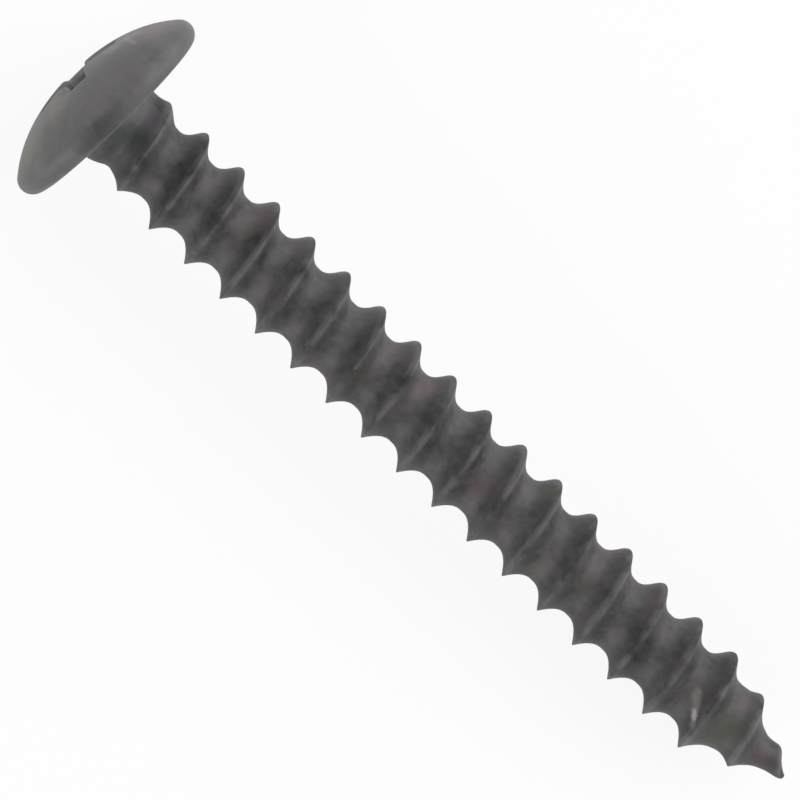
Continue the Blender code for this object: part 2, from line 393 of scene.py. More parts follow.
def recess_rings():
    rings = []
    for share in np.linspace(0, 1, FLOOR_RINGS + 1)[1:]:
        xy = floor_outline * share
        sink = CENTRE_POINT_DEPTH * np.clip(1 - np.linalg.norm(xy, axis=1) / (CORE_FLOOR_DIAMETER / 2), 0, 1)
        rings.append(with_height(xy, RECESS_DEPTH - HEAD_HEIGHT + sink))
    depth = np.zeros(RING_POINTS)
    for _ in range(DEPTH_PASSES):
        depth = dome_height(wall_point(depth)) + HEAD_HEIGHT
    lip_foot = depth + LIP_ROUND
    for share in np.linspace(0, 1, WALL_RINGS + 1)[1:]:
        level = RECESS_DEPTH + (lip_foot - RECESS_DEPTH) * share
        rings.append(with_height(wall_point(level), level - HEAD_HEIGHT))
    mouth = wall_point(depth)
    edge = np.roll(mouth, -1, axis=0) - np.roll(mouth, 1, axis=0)
    outward = np.column_stack([edge[:, 1], -edge[:, 0]]) / np.linalg.norm(edge, axis=1)[:, None]
    far = mouth + outward * LIP_ROUND
    corner = with_height(mouth, dome_height(mouth))
    start, end = rings[-1], with_height(far, dome_height(far))
    for t in np.linspace(0, 1, LIP_RINGS + 1)[1:]:
        rings.append(start * (1 - t) ** 2 + corner * 2 * t * (1 - t) + end * t**2)
    for t in np.linspace(0, 1, CHANGE_RINGS + 1)[1:]:
        xy = far * (1 - t) + circle(CHANGE_RADIUS) * t
        rings.append(with_height(xy, dome_height(xy)))
    return rings


recess = recess_rings()
print("the recess and its surround have", len(recess), "rings")

# %% [markdown]
# The outer rings are plain circles, so a turned profile would make them as well. They are rings here
# because they have to join the inner ones point to point. They run down the dome, round the rim in even
# angles, in across the bearing face and up a small fillet into the neck.

# %% The rings of the dome, the rim and the bearing face
FILLET_RADIUS = 0.35 * MM
FILLET_SINK = 0.12 * MM        # how far the fillet's upper end lies inside the neck
DOME_RINGS, RIM_RINGS, FACE_RINGS, FILLET_RINGS = 14, 16, 6, 7


def outer_rings():
    rings = []
    for radius in np.linspace(CHANGE_RADIUS, DOME_EDGE, DOME_RINGS + 1)[1:]:
        xy = circle(radius)
        rings.append(with_height(xy, dome_height(xy)))
    for angle in np.linspace(MEETING, pi / 2, RIM_RINGS + 1)[1:]:
        rings.append(with_height(circle(RIM_X + RIM_RADIUS * cos(angle)), -RIM_RADIUS * (1 - sin(angle))))
    top = root_radius(FILLET_RADIUS) - FILLET_SINK
    for radius in np.linspace(RIM_X, top + FILLET_RADIUS, FACE_RINGS + 1)[1:]:
        rings.append(with_height(circle(radius), 0.0))
    for angle in np.linspace(0, pi / 2, FILLET_RINGS + 1)[1:]:
        radius = top + FILLET_RADIUS * (1 - sin(angle))
        rings.append(with_height(circle(radius), FILLET_RADIUS * (1 - cos(angle))))
    return rings


rim = outer_rings()
print("the rest of the head has", len(rim), "rings")

# %% [markdown]
# All rings have the same number of points, so a point's neighbours are the next one along its ring and the
# ones with its number on the rings beside it. Four such points make a face, and a fan of triangles closes
# each end. That gives even faces all over, which shade smoothly.

# %% Join the rings into the head


def join_rings(name, rings, first_tip, last_tip):
    """A closed skin over rings of equal length, with a point at each end."""
    count = len(rings[0])
    points = [first_tip] + [tuple(p) for ring in rings for p in ring] + [last_tip]
    ahead = [(i + 1) % count for i in range(count)]
    faces = [(0, 1 + ahead[i], 1 + i) for i in range(count)]
    for r in range(len(rings) - 1):
        inner, outer = 1 + r * count, 1 + (r + 1) * count
        faces += [(inner + i, inner + ahead[i], outer + ahead[i], outer + i) for i in range(count)]
    last = 1 + (len(rings) - 1) * count
    faces += [(last + i, last + ahead[i], len(points) - 1) for i in range(count)]
    mesh = bpy.data.meshes.new(name)
    mesh.from_pydata(points, [], faces)
    bm = bmesh.new()
    bm.from_mesh(mesh)
    bmesh.ops.recalc_face_normals(bm, faces=bm.faces)
    bm.to_mesh(mesh)
    bm.free()
    return new_object(name, mesh)


recess_bottom = (0.0, 0.0, RECESS_DEPTH - HEAD_HEIGHT + CENTRE_POINT_DEPTH)
head = join_rings("head", recess + rim, recess_bottom, (0.0, 0.0, FILLET_RADIUS))
print("the head has", len(head.data.polygons), "faces")

# %% [markdown]
# ## One piece of steel
#
# The head and the shank are one piece of wire on the real screw, so an exact Boolean union welds them
# here. Two meshes pushed into each other would look the same from outside, but they would leave hidden
# faces in the steel. The shank's end lies just behind the recess's flat floor, so it also closes the blunt
# cone in the middle of that floor. A sink of 0.1 mm would leave the cone open, as it is in the solid.

# %% Weld head and shank
def weld(name, head, shank):
    union = head.modifiers.new("weld", "BOOLEAN")
    union.operation = "UNION"
    union.solver = "EXACT"
    union.object = shank
    mesh = evaluated_mesh(head)
    bpy.data.objects.remove(head)
    bpy.data.objects.remove(shank)
    mesh.name = name
    return new_object(name, mesh)


screw = weld("steel_screw", head, shank)
print("the welded screw has", len(screw.data.polygons), "faces")

# %% [markdown]
# ## Shares for the finish
#
# The finish differs by place. The head is painted lighter than the shank, as painted light. The recess is
# painted darker further down, as painted shade, and lighter at its lip, partly for wear by drivers and
# partly as painted light. The crests of the thread are rubbed, and the flanks beside them are painted
# darker, as painted shade. A noise can't know where those are, but the shape can, so each point stores three
# shares as attributes, which the material reads later. They are measured while the screw still stands
# straight, where a height and a distance from the axis say it all.

# %% Store the shares
# the head's lighter colour is painted light
HEAD_FADE = 0.6 * MM           # the head's lighter colour ends this far down the neck
# the recess is painted darker with depth, as painted shade
RECESS_SHADE = 1.1 * MM        # the recess is at its darkest from this deep


def store_shares(mesh):
    """Stores three shares: head (0 on the shank), recess (1 deep in it) and crest (0 at the root)."""
    on_head = mesh.attributes.new("head", "FLOAT", "POINT")
    in_recess = mesh.attributes.new("recess", "FLOAT", "POINT")
    near_crest = mesh.attributes.new("crest", "FLOAT", "POINT")
    for vert in mesh.vertices:
        height = vert.co.z
        on_head.data[vert.index].value = float(np.clip(1 - height / HEAD_FADE, 0, 1))
        if vert.co.xy.length < CHANGE_RADIUS and height < 0:
            surface = float(dome_height(np.array([vert.co.xy]))[0])
            in_recess.data[vert.index].value = float(np.clip((height - surface) / RECESS_SHADE, 0, 1))
        if height > HEAD_FADE:
            body = float(root_radius(height))
            crest = float(crest_radius(height))
            share = (vert.co.xy.length - body) / max(crest - body, WELD)
            near_crest.data[vert.index].value = float(np.clip(share, 0, 1))


store_shares(screw.data)
print("each point has the attributes", [a.name for a in screw.data.attributes if a.domain == "POINT"])

# %% [markdown]
# ## A head out of square
#
# The heading machine set this head down about two and a half degrees out of square, and the head and the
# shank don't quite share an axis, which shows on the straight screw. The head is turned and moved, the
# shank is moved the other way, and the neck blends one into the other.

# %% Turn the head
SIDE_TURN = radians(1.0)       # in the plane of the floor
BACK_TURN = radians(2.5)       # the side that faces up tips back, away from the point
HEAD_OFFSET = Vector((0.035 * MM, 0.012 * MM, 0.075 * MM))
SHANK_OFFSET = Vector((-0.065 * MM, 0.0, 0.0))


def set_head_askew(mesh):
    for vert in mesh.vertices:
        share = float(np.clip(1 - vert.co.z / NECK_LENGTH, 0, 1))
        turn = Matrix.Rotation(-SIDE_TURN * share, 3, "Y") @ Matrix.Rotation(-BACK_TURN * share, 3, "X")
        vert.co = turn @ vert.co + HEAD_OFFSET * share + SHANK_OFFSET * (1 - share)


set_head_askew(screw.data)
print("the rim has moved by up to", round(HEAD_RADIUS * sin(BACK_TURN) / MM, 2), "mm along the axis")

# %% [markdown]
# ## Lying down
#
# The finished mesh goes to its place with the matrix from the start. Round stretches are shaded smooth and
# only real corners stay sharp. Then the screw rides on the body called root and stands in for the CAD's own
# node, which is hidden.

# %% Lay the screw down
SHARP_ANGLE = radians(42)

screw.data.transform(lay_down)
screw.data.shade_smooth()
screw.data.set_sharp_from_angle(angle=SHARP_ANGLE)
screw.data.calc_loop_triangles()
print("the screw has", len(screw.data.loop_triangles), "triangles")
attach(screw, "root")
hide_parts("screw")

# %% [markdown]
# ## The finish
#
# Phosphate is a crust of tiny dark crystals that soaks up oil. It is dull seen straight on and shinier at
# a glancing angle. It rubs off first where the screw touches other things: along the crest of the thread.
# Each effect is a group of shader nodes that takes a colour and gives one back, so they can be chained. A
# small class saves typing: it makes the group, its sockets and the nodes inside it.

# %% A helper that makes node groups


def fill(tree, socket, value):
    """Sets a socket to a value, or links another node's output to it."""
    if isinstance(value, bpy.types.NodeSocket):
        tree.links.new(value, socket)
    else:
        socket.default_value = value


def add_node(tree, kind, settings, **sockets):
    node = tree.nodes.new(kind)
    for key, value in settings.items():
        setattr(node, key, value)
    for title, value in sockets.items():
        fill(tree, node.inputs[title.replace("_", " ")], value)
    return node


class NodeGroup:
    """A shader node group with named inputs and outputs."""

    def __init__(self, name, inputs, outputs):
        self.tree = bpy.data.node_groups.new(name, "ShaderNodeTree")
        for title, kind, value in inputs:
            socket = self.tree.interface.new_socket(title, in_out="INPUT", socket_type="NodeSocket" + kind)
            socket.default_value = value
        for title, kind in outputs:
            self.tree.interface.new_socket(title, in_out="OUTPUT", socket_type="NodeSocket" + kind)
        self.start = self.tree.nodes.new("NodeGroupInput").outputs
        self.end = self.tree.nodes.new("NodeGroupOutput").inputs

    def node(self, kind, settings, **sockets):
        """Adds a node. A socket is given as a value or as another node's output."""
        return add_node(self.tree, kind, settings, **sockets)

    def math(self, operation, first, second=0.0, third=0.0, clamp=False):
        node = self.node("ShaderNodeMath", {"operation": operation, "use_clamp": clamp})
        fill(self.tree, node.inputs[0], first)
        fill(self.tree, node.inputs[1], second)
        fill(self.tree, node.inputs[2], third)
        return node.outputs[0]

    def vector(self, operation, first, second=(0, 0, 0)):
        node = self.node("ShaderNodeVectorMath", {"operation": operation})
        fill(self.tree, node.inputs[0], first)
        fill(self.tree, node.inputs[1], second)
        return node.outputs["Value" if operation in ("DOT_PRODUCT", "LENGTH") else "Vector"]

    def blend(self, share, first, second, mode="MIX"):
        node = self.node("ShaderNodeMix", {"data_type": "RGBA", "blend_type": mode})
        fill(self.tree, node.inputs["Factor"], share)
        fill(self.tree, node.inputs[6], first)
        fill(self.tree, node.inputs[7], second)
        return node.outputs[2]

    def soft_step(self, value, low, high):
        """0 at low, 1 at high and smooth between them. Low may be the larger of the two."""
        return self.node("ShaderNodeMapRange", {"interpolation_type": "SMOOTHSTEP"}, Value=value,
                         From_Min=low, From_Max=high).outputs[0]

    def scale(self, vector, factor):
        node = self.node("ShaderNodeVectorMath", {"operation": "SCALE"}, Scale=factor)
        fill(self.tree, node.inputs[0], vector)
        return node.outputs[0]

    def noise(self, place, scale, detail):
        """A cloudy value about 0.5."""
        return self.node("ShaderNodeTexNoise", {}, Vector=place, Scale=scale, Detail=detail).outputs["Fac"]

    def finish(self, **results):
        for title, source in results.items():
            self.tree.links.new(source, self.end[title.replace("_", " ")])


print("a node group can use", [name for name in vars(NodeGroup) if not name.startswith("_")])

# %% [markdown]
# Mottling: the crystals grow unevenly, in clouds of a millimetre or so and finer ones inside them. The
# group makes the colour lighter and darker with two sizes of cloud, and swings it a little towards a tint.
# A single noise would do for a fine grain, but steel seen this close needs both sizes. The clouds come out
# as a value too, so that the shine can follow them.

# %% The mottling group
GREY = (0.1, 0.1, 0.1, 1)
FINER = 3.7                    # the fine clouds are this many times smaller
FINE_SHARE = 0.8
MIDDLE = 0.90                  # the two noises together, on average
TINT_FROM, TINT_TO = 0.45, 0.70
TINT_PLACE = (0.31, 0.17, 0.05)

mottling = NodeGroup(
    "mottling",
    [("Color", "Color", GREY), ("Tint", "Color", GREY), ("Position", "Vector", (0, 0, 0)),
     ("Cloud Size", "Float", 0.001), ("Depth", "Float", 0.3), ("Tint Share", "Float", 0.2)],
    [("Color", "Color"), ("Clouds", "Float")],
)
inlet = mottling.start
cloud_scale = mottling.math("DIVIDE", 1.0, inlet["Cloud Size"])
fine_scale = mottling.math("MULTIPLY", cloud_scale, FINER)
broad = mottling.noise(inlet["Position"], cloud_scale, 2.0)
fine = mottling.noise(inlet["Position"], fine_scale, 2.0)
both = mottling.math("MULTIPLY_ADD", fine, FINE_SHARE, broad)
swing = mottling.math("SUBTRACT", both, MIDDLE)
factor = mottling.math("MULTIPLY_ADD", swing, inlet["Depth"], 1.0)
brighter = mottling.scale(inlet["Color"], factor)
elsewhere = mottling.vector("ADD", inlet["Position"], TINT_PLACE)
tint_noise = mottling.noise(elsewhere, cloud_scale, 1.0)
tint_place = mottling.soft_step(tint_noise, TINT_FROM, TINT_TO)
tint_share = mottling.math("MULTIPLY", tint_place, inlet["Tint Share"])
tinted = mottling.blend(tint_share, brighter, inlet["Tint"])
mottling.finish(Color=tinted, Clouds=both)
print("mottling has", len(mottling.tree.nodes), "nodes")

# %% [markdown]
# Worn crests: the attribute that was stored on the thread is 1 on the crest and 0 at the root. The crest
# is rubbed to a lighter grey in a strip that comes and goes. The flanks beside it are painted darker, as
# painted shade, so they are the darkest part of the thread. Painting the strips by hand would give the same
# look once, but a strip that follows the attribute fits any thread.

# %% The worn crest and painted flank shade group
RUBBED_FROM, RUBBED_TO = 0.38, 0.62
FLANK_FROM, FLANK_TO = -0.25, 0.45

worn_crests_and_flank_shade = NodeGroup(
    "worn_crests_and_flank_shade",
    [("Color", "Color", GREY), ("Worn Color", "Color", GREY), ("Position", "Vector", (0, 0, 0)),
     ("Crest", "Float", 0.0), ("Strip Start", "Float", 0.72), ("Strip Full", "Float", 0.88),
     ("Flank Shade", "Float", 0.2), ("Patch Size", "Float", 0.001), ("Wear", "Float", 0.8)],
    [("Color", "Color")],
)
inlet = worn_crests_and_flank_shade.start
strip = worn_crests_and_flank_shade.soft_step(inlet["Crest"], inlet["Strip Start"], inlet["Strip Full"])
patch_scale = worn_crests_and_flank_shade.math("DIVIDE", 1.0, inlet["Patch Size"])
patches = worn_crests_and_flank_shade.noise(inlet["Position"], patch_scale, 3.0)
rubbed = worn_crests_and_flank_shade.soft_step(patches, RUBBED_FROM, RUBBED_TO)
wear = worn_crests_and_flank_shade.math("MULTIPLY", strip, rubbed)
wear = worn_crests_and_flank_shade.math("MULTIPLY", wear, inlet["Wear"])
flank_up = worn_crests_and_flank_shade.soft_step(inlet["Crest"], FLANK_FROM, FLANK_TO)
shade = worn_crests_and_flank_shade.math("MULTIPLY", flank_up, inlet["Flank Shade"])
keep = worn_crests_and_flank_shade.math("SUBTRACT", 1.0, shade)
darker = worn_crests_and_flank_shade.scale(inlet["Color"], keep)
rubbed_color = worn_crests_and_flank_shade.blend(wear, darker, inlet["Worn Color"])
worn_crests_and_flank_shade.finish(Color=rubbed_color)
print("worn_crests_and_flank_shade has", len(worn_crests_and_flank_shade.tree.nodes), "nodes")

# %% [markdown]
# Stains, scratches and patches of painted shade: all are marks at a known place. The mark is strongest
# along a line from one point to another and fades out over its width. With both points the same it is a
# round stain. A little noise in the distance keeps its edge from looking drawn.

# %% The mark group
EDGE_DETAIL = 1.6              # ragged bits across one width
MARK_EDGE, MARK_CORE = 1.0, 0.15    # where it begins and where it is full, in widths

mark = NodeGroup(
    "mark",
    [("Color", "Color", GREY), ("Mark Color", "Color", GREY), ("Position", "Vector", (0, 0, 0)),
     ("Start", "Vector", (0, 0, 0)), ("Run", "Vector", (0.0001, 0, 0)), ("Width", "Float", 0.0005),
     ("Raggedness", "Float", 0.5), ("Strength", "Float", 0.5)],
    [("Color", "Color"), ("Mark", "Float")],
)
inlet = mark.start
from_start = mark.vector("SUBTRACT", inlet["Position"], inlet["Start"])
run_squared = mark.vector("DOT_PRODUCT", inlet["Run"], inlet["Run"])
walked = mark.vector("DOT_PRODUCT", from_start, inlet["Run"])
share = mark.math("DIVIDE", walked, run_squared, clamp=True)
nearest = mark.scale(inlet["Run"], share)
offset = mark.vector("SUBTRACT", from_start, nearest)
distance = mark.vector("LENGTH", offset)
relative = mark.math("DIVIDE", distance, inlet["Width"])
edge_scale = mark.math("DIVIDE", EDGE_DETAIL, inlet["Width"])
edge_noise = mark.noise(inlet["Position"], edge_scale, 2.0)
ragged = mark.math("SUBTRACT", edge_noise, 0.5)
ragged = mark.math("MULTIPLY", ragged, inlet["Raggedness"])
reach = mark.math("ADD", relative, ragged)
inside = mark.soft_step(reach, MARK_EDGE, MARK_CORE)
amount = mark.math("MULTIPLY", inside, inlet["Strength"])
marked = mark.blend(amount, inlet["Color"], inlet["Mark Color"])
mark.finish(Color=marked, Mark=amount)
print("mark has", len(mark.tree.nodes), "nodes")

# %% [markdown]
# Grain: the crystals themselves, a few hundredths of a millimetre across, with a coarser unevenness that
# the rolling dies left. It gives a height for the Bump node, because real faces this small would take
# millions of triangles.

# %% The grain group
grain = NodeGroup(
    "grain",
    [("Position", "Vector", (0, 0, 0)), ("Crystal Size", "Float", 0.00006), ("Wave Size", "Float", 0.0004),
     ("Wave Share", "Float", 0.5)],
    [("Height", "Float")],
)
inlet = grain.start
crystal_scale = grain.math("DIVIDE", 1.0, inlet["Crystal Size"])
wave_scale = grain.math("DIVIDE", 1.0, inlet["Wave Size"])
crystals = grain.noise(inlet["Position"], crystal_scale, 2.0)
waves = grain.noise(inlet["Position"], wave_scale, 2.0)
height = grain.node("ShaderNodeMix", {"data_type": "FLOAT"})
fill(grain.tree, height.inputs["Factor"], inlet["Wave Share"])
fill(grain.tree, height.inputs[2], crystals)
fill(grain.tree, height.inputs[3], waves)
grain.finish(Height=height.outputs[0])
print("grain has", len(grain.tree.nodes), "nodes")

# %% [markdown]
# ## Where the marks are
#
# Each mark is given as a ruler on the photo gives it: how far along the axis from the bearing face and how
# far to the side. That leaves its height open, and on a thread the height changes quickly. A ray from the
# camera's direction finds the point on the surface, so the marks stay on the steel if a size changes.

# %% Places as the camera sees them
CAMERA_LEAN = radians(4.2)     # towards the head, from straight above
RAY_START = 20 * MM            # above the axis, well clear of the head
to_camera = Vector((-sin(CAMERA_LEAN), 0, cos(CAMERA_LEAN)))
skin = BVHTree.FromPolygons([v.co for v in screw.data.vertices], [p.vertices for p in screw.data.polygons])


def seen_at(along_mm, side_mm):
    """The point of the surface that the camera sees over a point beside the axis."""
    middle = foot + along * along_mm * MM + across * side_mm * MM
    return skin.ray_cast(middle + to_camera * RAY_START, -to_camera)[0]


halfway = seen_at(LENGTH / MM / 2, 0.0)
print("halfway along, the camera sees the place", [round(c / MM, 2) for c in halfway], "mm")

# %% [markdown]
# Oil and handling have left faint stains: pink, green and olive ones on the thread, lilac and green ones on
# the neck, and larger ones on the dome, most of them paler or warmer than it. The dark grey patches under
# the head, on the lower side of the neck and beside the recess are painted shade. Each has a place, a
# radius, a colour and a strength. Most are weak, and together they keep the grey from looking like paint.

# %% The stains and the painted shade
PINK = (0.088, 0.056, 0.065, 1)
GREEN = (0.034, 0.048, 0.043, 1)
OLIVE = (0.058, 0.060, 0.042, 1)
LILAC = (0.084, 0.077, 0.090, 1)
# painted shade, for the dark patches under the head, on the neck's lower side and beside the recess
PAINTED_SHADE = (0.026, 0.027, 0.026, 1)
HEAD_LIGHT = (0.200, 0.190, 0.194, 1)
HEAD_PINK = (0.165, 0.132, 0.140, 1)
HEAD_ORANGE = (0.165, 0.140, 0.118, 1)
HEAD_OLIVE = (0.135, 0.140, 0.105, 1)
HEAD_GREEN = (0.076, 0.096, 0.090, 1)
STAINS_AND_SHADE_PATCHES = (                     # along and side in mm, radius in mm, colour, strength
    (17.8, 1.28, 0.50, PINK, 0.9), (17.3, 0.73, 0.45, PINK, 0.7), (15.5, 1.31, 0.40, PINK, 0.7),
    (7.6, 1.36, 0.50, PINK, 0.8), (8.3, 1.29, 0.40, PINK, 0.5), (36.8, 1.00, 0.45, PINK, 0.55),
    (31.1, 1.50, 0.40, PINK, 0.7), (39.0, -0.13, 0.50, PINK, 0.5), (22.2, -0.28, 0.50, PINK, 0.45),
    (28.3, 1.53, 0.35, PINK, 0.5), (1.0, -0.36, 0.70, GREEN, 0.6), (2.0, 0.10, 0.65, GREEN, 0.6),
    (32.8, -1.10, 0.50, GREEN, 0.6), (8.2, -0.50, 0.35, GREEN, 0.6), (25.8, -1.13, 0.45, OLIVE, 0.8),
    (24.6, 1.56, 0.40, OLIVE, 0.8), (37.1, -0.54, 0.90, OLIVE, 0.6), (0.8, 1.20, 0.60, LILAC, 0.55),
    (1.4, 0.70, 0.35, LILAC, 0.6), (1.3, -1.25, 0.55, PAINTED_SHADE, 0.45), (2.3, -0.80, 0.55, PAINTED_SHADE, 0.45),
    (0.1, -0.55, 0.50, PAINTED_SHADE, 0.75), (0.1, -1.20, 0.50, PAINTED_SHADE, 0.70), (0.1, -1.85, 0.42, PAINTED_SHADE, 0.5),
    (0.1, 0.10, 0.45, PAINTED_SHADE, 0.40), (0.2, 0.90, 0.45, PAINTED_SHADE, 0.25), (0.2, 1.60, 0.40, PAINTED_SHADE, 0.20),
    (-1.36, 3.72, 0.95, HEAD_PINK, 0.55), (-2.0, 2.5, 0.50, HEAD_LIGHT, 0.45),
    (-2.06, 1.9, 0.45, HEAD_LIGHT, 0.55), (-1.80, 3.10, 0.45, HEAD_LIGHT, 0.45),
    (-2.42, -0.30, 0.34, PAINTED_SHADE, 0.45), (-2.22, -0.78, 0.32, PAINTED_SHADE, 0.40),
    (-1.97, -1.50, 0.80, HEAD_ORANGE, 0.5), (-1.60, -3.30, 0.90, HEAD_OLIVE, 0.55),
    (-1.02, -2.56, 0.55, HEAD_GREEN, 0.45), (-0.37, -1.80, 0.60, HEAD_GREEN, 0.40),
    (-0.10, -2.60, 0.45, HEAD_PINK, 0.25),
)
print("there are", len(STAINS_AND_SHADE_PATCHES), "stains")

# %% [markdown]
# ## The phosphate material
#
# The material chains the groups: the plain colour with its painted light and shade, the clouds, the stains
# and the patches of painted shade, the wear on the crests with the painted shade of the flanks, and last the
# scrapes. Its own colours come first. They are linear values, so 0.05 is a dark grey and not black.

# %% The colours of the finish
# The head's colour is painted lighter than the shank's, as painted light.
SHANK_COLOR = (0.0495, 0.0467, 0.0475, 1)
HEAD_COLOR_WITH_PAINTED_LIGHT = (0.091, 0.0878, 0.0885, 1)
# The lip is lighter partly from wear by drivers and partly as painted light on the recess's walls.
LIP_WEAR_AND_PAINTED_LIGHT = (0.190, 0.186, 0.180, 1)        # drivers have rubbed the lip of the recess
# painted shade deep in the recess
RECESS_PAINTED_SHADE = (0.040, 0.041, 0.035, 1)
WARM_TINT = (0.088, 0.078, 0.072, 1)
WORN_COLOR = (0.120, 0.114, 0.115, 1)
BARE_STEEL = (0.27, 0.262, 0.256, 1)
BRIGHT_STEEL = (0.42, 0.41, 0.40, 1)
SCUFFED = (0.19, 0.18, 0.18, 1)
print("the head is", round(HEAD_COLOR_WITH_PAINTED_LIGHT[0] / SHANK_COLOR[0], 1), "times as light as the shank")

# %% [markdown]
# The head is painted lighter than the shank, as painted light. The recess is painted lighter at its lip,
# partly for wear by drivers and partly as painted light on its walls, and darker further down, as painted
# shade. Both follow the attributes that were stored on the mesh. The shader itself stays in the material,
# where its plain numbers are set on its own sockets: a dull dielectric crust, with a trace of sheen for the
# dust on it.

# %% The ground colour by place
finish = bpy.data.materials.new("dark_phosphate")
finish.use_nodes = True
tree = finish.node_tree
shader = tree.nodes["Principled BSDF"]
shader.inputs["Specular IOR Level"].default_value = 0.35
shader.inputs["Sheen Weight"].default_value = 0.12
shader.inputs["Sheen Roughness"].default_value = 0.35
LIP_REACH = 0.12               # of the recess's darkest depth
# where the recess's painted shade begins and where it is full, in shares of its darkest depth
SHADE_FROM, SHADE_TO = 0.15, 0.85


def attribute(name):
    return add_node(tree, "ShaderNodeAttribute", {"attribute_name": name}).outputs["Fac"]


def step_in(value, low, high):
    return add_node(tree, "ShaderNodeMapRange", {"interpolation_type": "SMOOTHSTEP"}, Value=value,
                    From_Min=low, From_Max=high).outputs[0]


def mix_colors(share, first, second):
    node = add_node(tree, "ShaderNodeMix", {"data_type": "RGBA"}, Factor=share)
    fill(tree, node.inputs[6], first)
    fill(tree, node.inputs[7], second)
    return node.outputs[2]


sunk = attribute("recess")
# painted light: the head takes the lighter colour
plain = mix_colors(attribute("head"), SHANK_COLOR, HEAD_COLOR_WITH_PAINTED_LIGHT)
# the lip's lighter colour: wear from drivers and painted light on the recess walls
rubbed = mix_colors(step_in(sunk, 0.0, LIP_REACH), plain, LIP_WEAR_AND_PAINTED_LIGHT)
# painted shade: the recess grows darker further down
shaded = mix_colors(step_in(sunk, SHADE_FROM, SHADE_TO), rubbed, RECESS_PAINTED_SHADE)
print("the ground colour takes", len(tree.nodes) - 2, "nodes")

# %% [markdown]
# The clouds are deeper on the shank, where the rolled surface is rougher, than on the smooth head. Then one
# mark group for each stain and each patch of painted shade takes the colour of the one before it.

# %% The clouds, the stains and the painted shade
CLOUD_SIZE = 1.3 * MM
PATCH_SPREAD = 1.5             # a stain fades out this many radii from its middle
PATCH_RAGGEDNESS = 0.9


def use_group(group, **sockets):
    node = tree.nodes.new("ShaderNodeGroup")
    node.node_tree = group.tree
    for title, value in sockets.items():
        fill(tree, node.inputs[title.replace("_", " ")], value)
    return node.outputs


def use_mark(color, mark_color, start, end, width, raggedness, strength):
    run = end - start
    if run.length < WELD:
        run = Vector((WELD, 0, 0))
    return use_group(mark, Color=color, Mark_Color=mark_color, Position=position, Start=start, Run=run,
                     Width=width, Raggedness=raggedness, Strength=strength)


position = add_node(tree, "ShaderNodeTexCoord", {}).outputs["Object"]
depth = add_node(tree, "ShaderNodeMapRange", {}, Value=attribute("head"), To_Min=2.1, To_Max=0.8)
clouds = use_group(mottling, Color=shaded, Tint=WARM_TINT, Position=position, Cloud_Size=CLOUD_SIZE,
                   Depth=depth.outputs[0], Tint_Share=0.35)
color = clouds["Color"]
for along_mm, side_mm, radius_mm, patch_color, strength in STAINS_AND_SHADE_PATCHES:
    place = seen_at(along_mm, side_mm)
    width = PATCH_SPREAD * radius_mm * MM
    color = use_mark(color, patch_color, place, place, width, PATCH_RAGGEDNESS, strength)["Color"]
print("clouds and stains take the material to", len(tree.nodes), "nodes")

# %% [markdown]
# The wear and the painted shade of the flanks lie over the stains, because the wear came later. Two scrapes
# come last. The one on the last turns went through to bare steel, so its mask also feeds Metallic, and a
# brighter nick lies in it. The other is a light scuff on the dome.

# %% The worn crests and the scrapes
# Flank Shade paints the flanks darker, as painted shade.
worn = use_group(worn_crests_and_flank_shade, Color=color, Worn_Color=WORN_COLOR, Position=position,
                 Crest=attribute("crest"), Strip_Start=0.58, Strip_Full=0.90, Flank_Shade=0.32,
                 Patch_Size=1.1 * MM, Wear=0.60)
scrape_start, scrape_end = seen_at(35.10, -0.10), seen_at(35.85, -1.15)
scrape = use_mark(worn["Color"], BARE_STEEL, scrape_start, scrape_end,
                  width=0.34 * MM, raggedness=1.2, strength=0.34)
nick = use_mark(scrape["Color"], BRIGHT_STEEL, seen_at(35.58, -0.78), seen_at(35.72, -0.95),
                width=0.24 * MM, raggedness=0.9, strength=0.60)
scuff = use_mark(nick["Color"], SCUFFED, seen_at(-1.5, 2.8), seen_at(-2.0, 2.65),
                 width=0.20 * MM, raggedness=1.0, strength=0.45)
fill(tree, shader.inputs["Base Color"], scuff["Color"])
fill(tree, shader.inputs["Metallic"], scrape["Mark"])
print("the scrape is", round((scrape_end - scrape_start).length / MM, 1), "mm long")

# %% [markdown]
# The thicker the crystals, the duller the spot, so the clouds also set the roughness. The grain goes through
# a Bump node into Normal. How deep that looks is set by its Distance, in metres: here it is three
# hundredths of a millimetre.

# %% The shine and the grain
shine = add_node(tree, "ShaderNodeMapRange", {}, Value=clouds["Clouds"], From_Min=0.6, From_Max=1.2,
                 To_Min=0.50, To_Max=0.66)
crust = use_group(grain, Position=position, Crystal_Size=0.055 * MM, Wave_Size=0.45 * MM, Wave_Share=0.55)
bump = add_node(tree, "ShaderNodeBump", {}, Height=crust["Height"], Strength=0.5, Distance=0.030 * MM)
fill(tree, shader.inputs["Roughness"], shine.outputs[0])
fill(tree, shader.inputs["Normal"], bump.outputs["Normal"])
screw.data.materials.clear()
screw.data.materials.append(finish)
print("the material has", len(tree.nodes), "nodes")

# %% [markdown]
# ## The floor
#
# The screw lies on white paper, lit so brightly that the paper shows no edge. Lighting it that hard would
# bleach the steel too. Instead the paper is ordinary for every ray but the camera's own, which see it
# mostly as plain white through the Light Path node. The small share that is left keeps the soft shadow.

# %% The floor
FLOOR_SIZE = 6.0
PAPER_COLOR = (0.85, 0.85, 0.85, 1)
GLOW_SHARE = 0.88

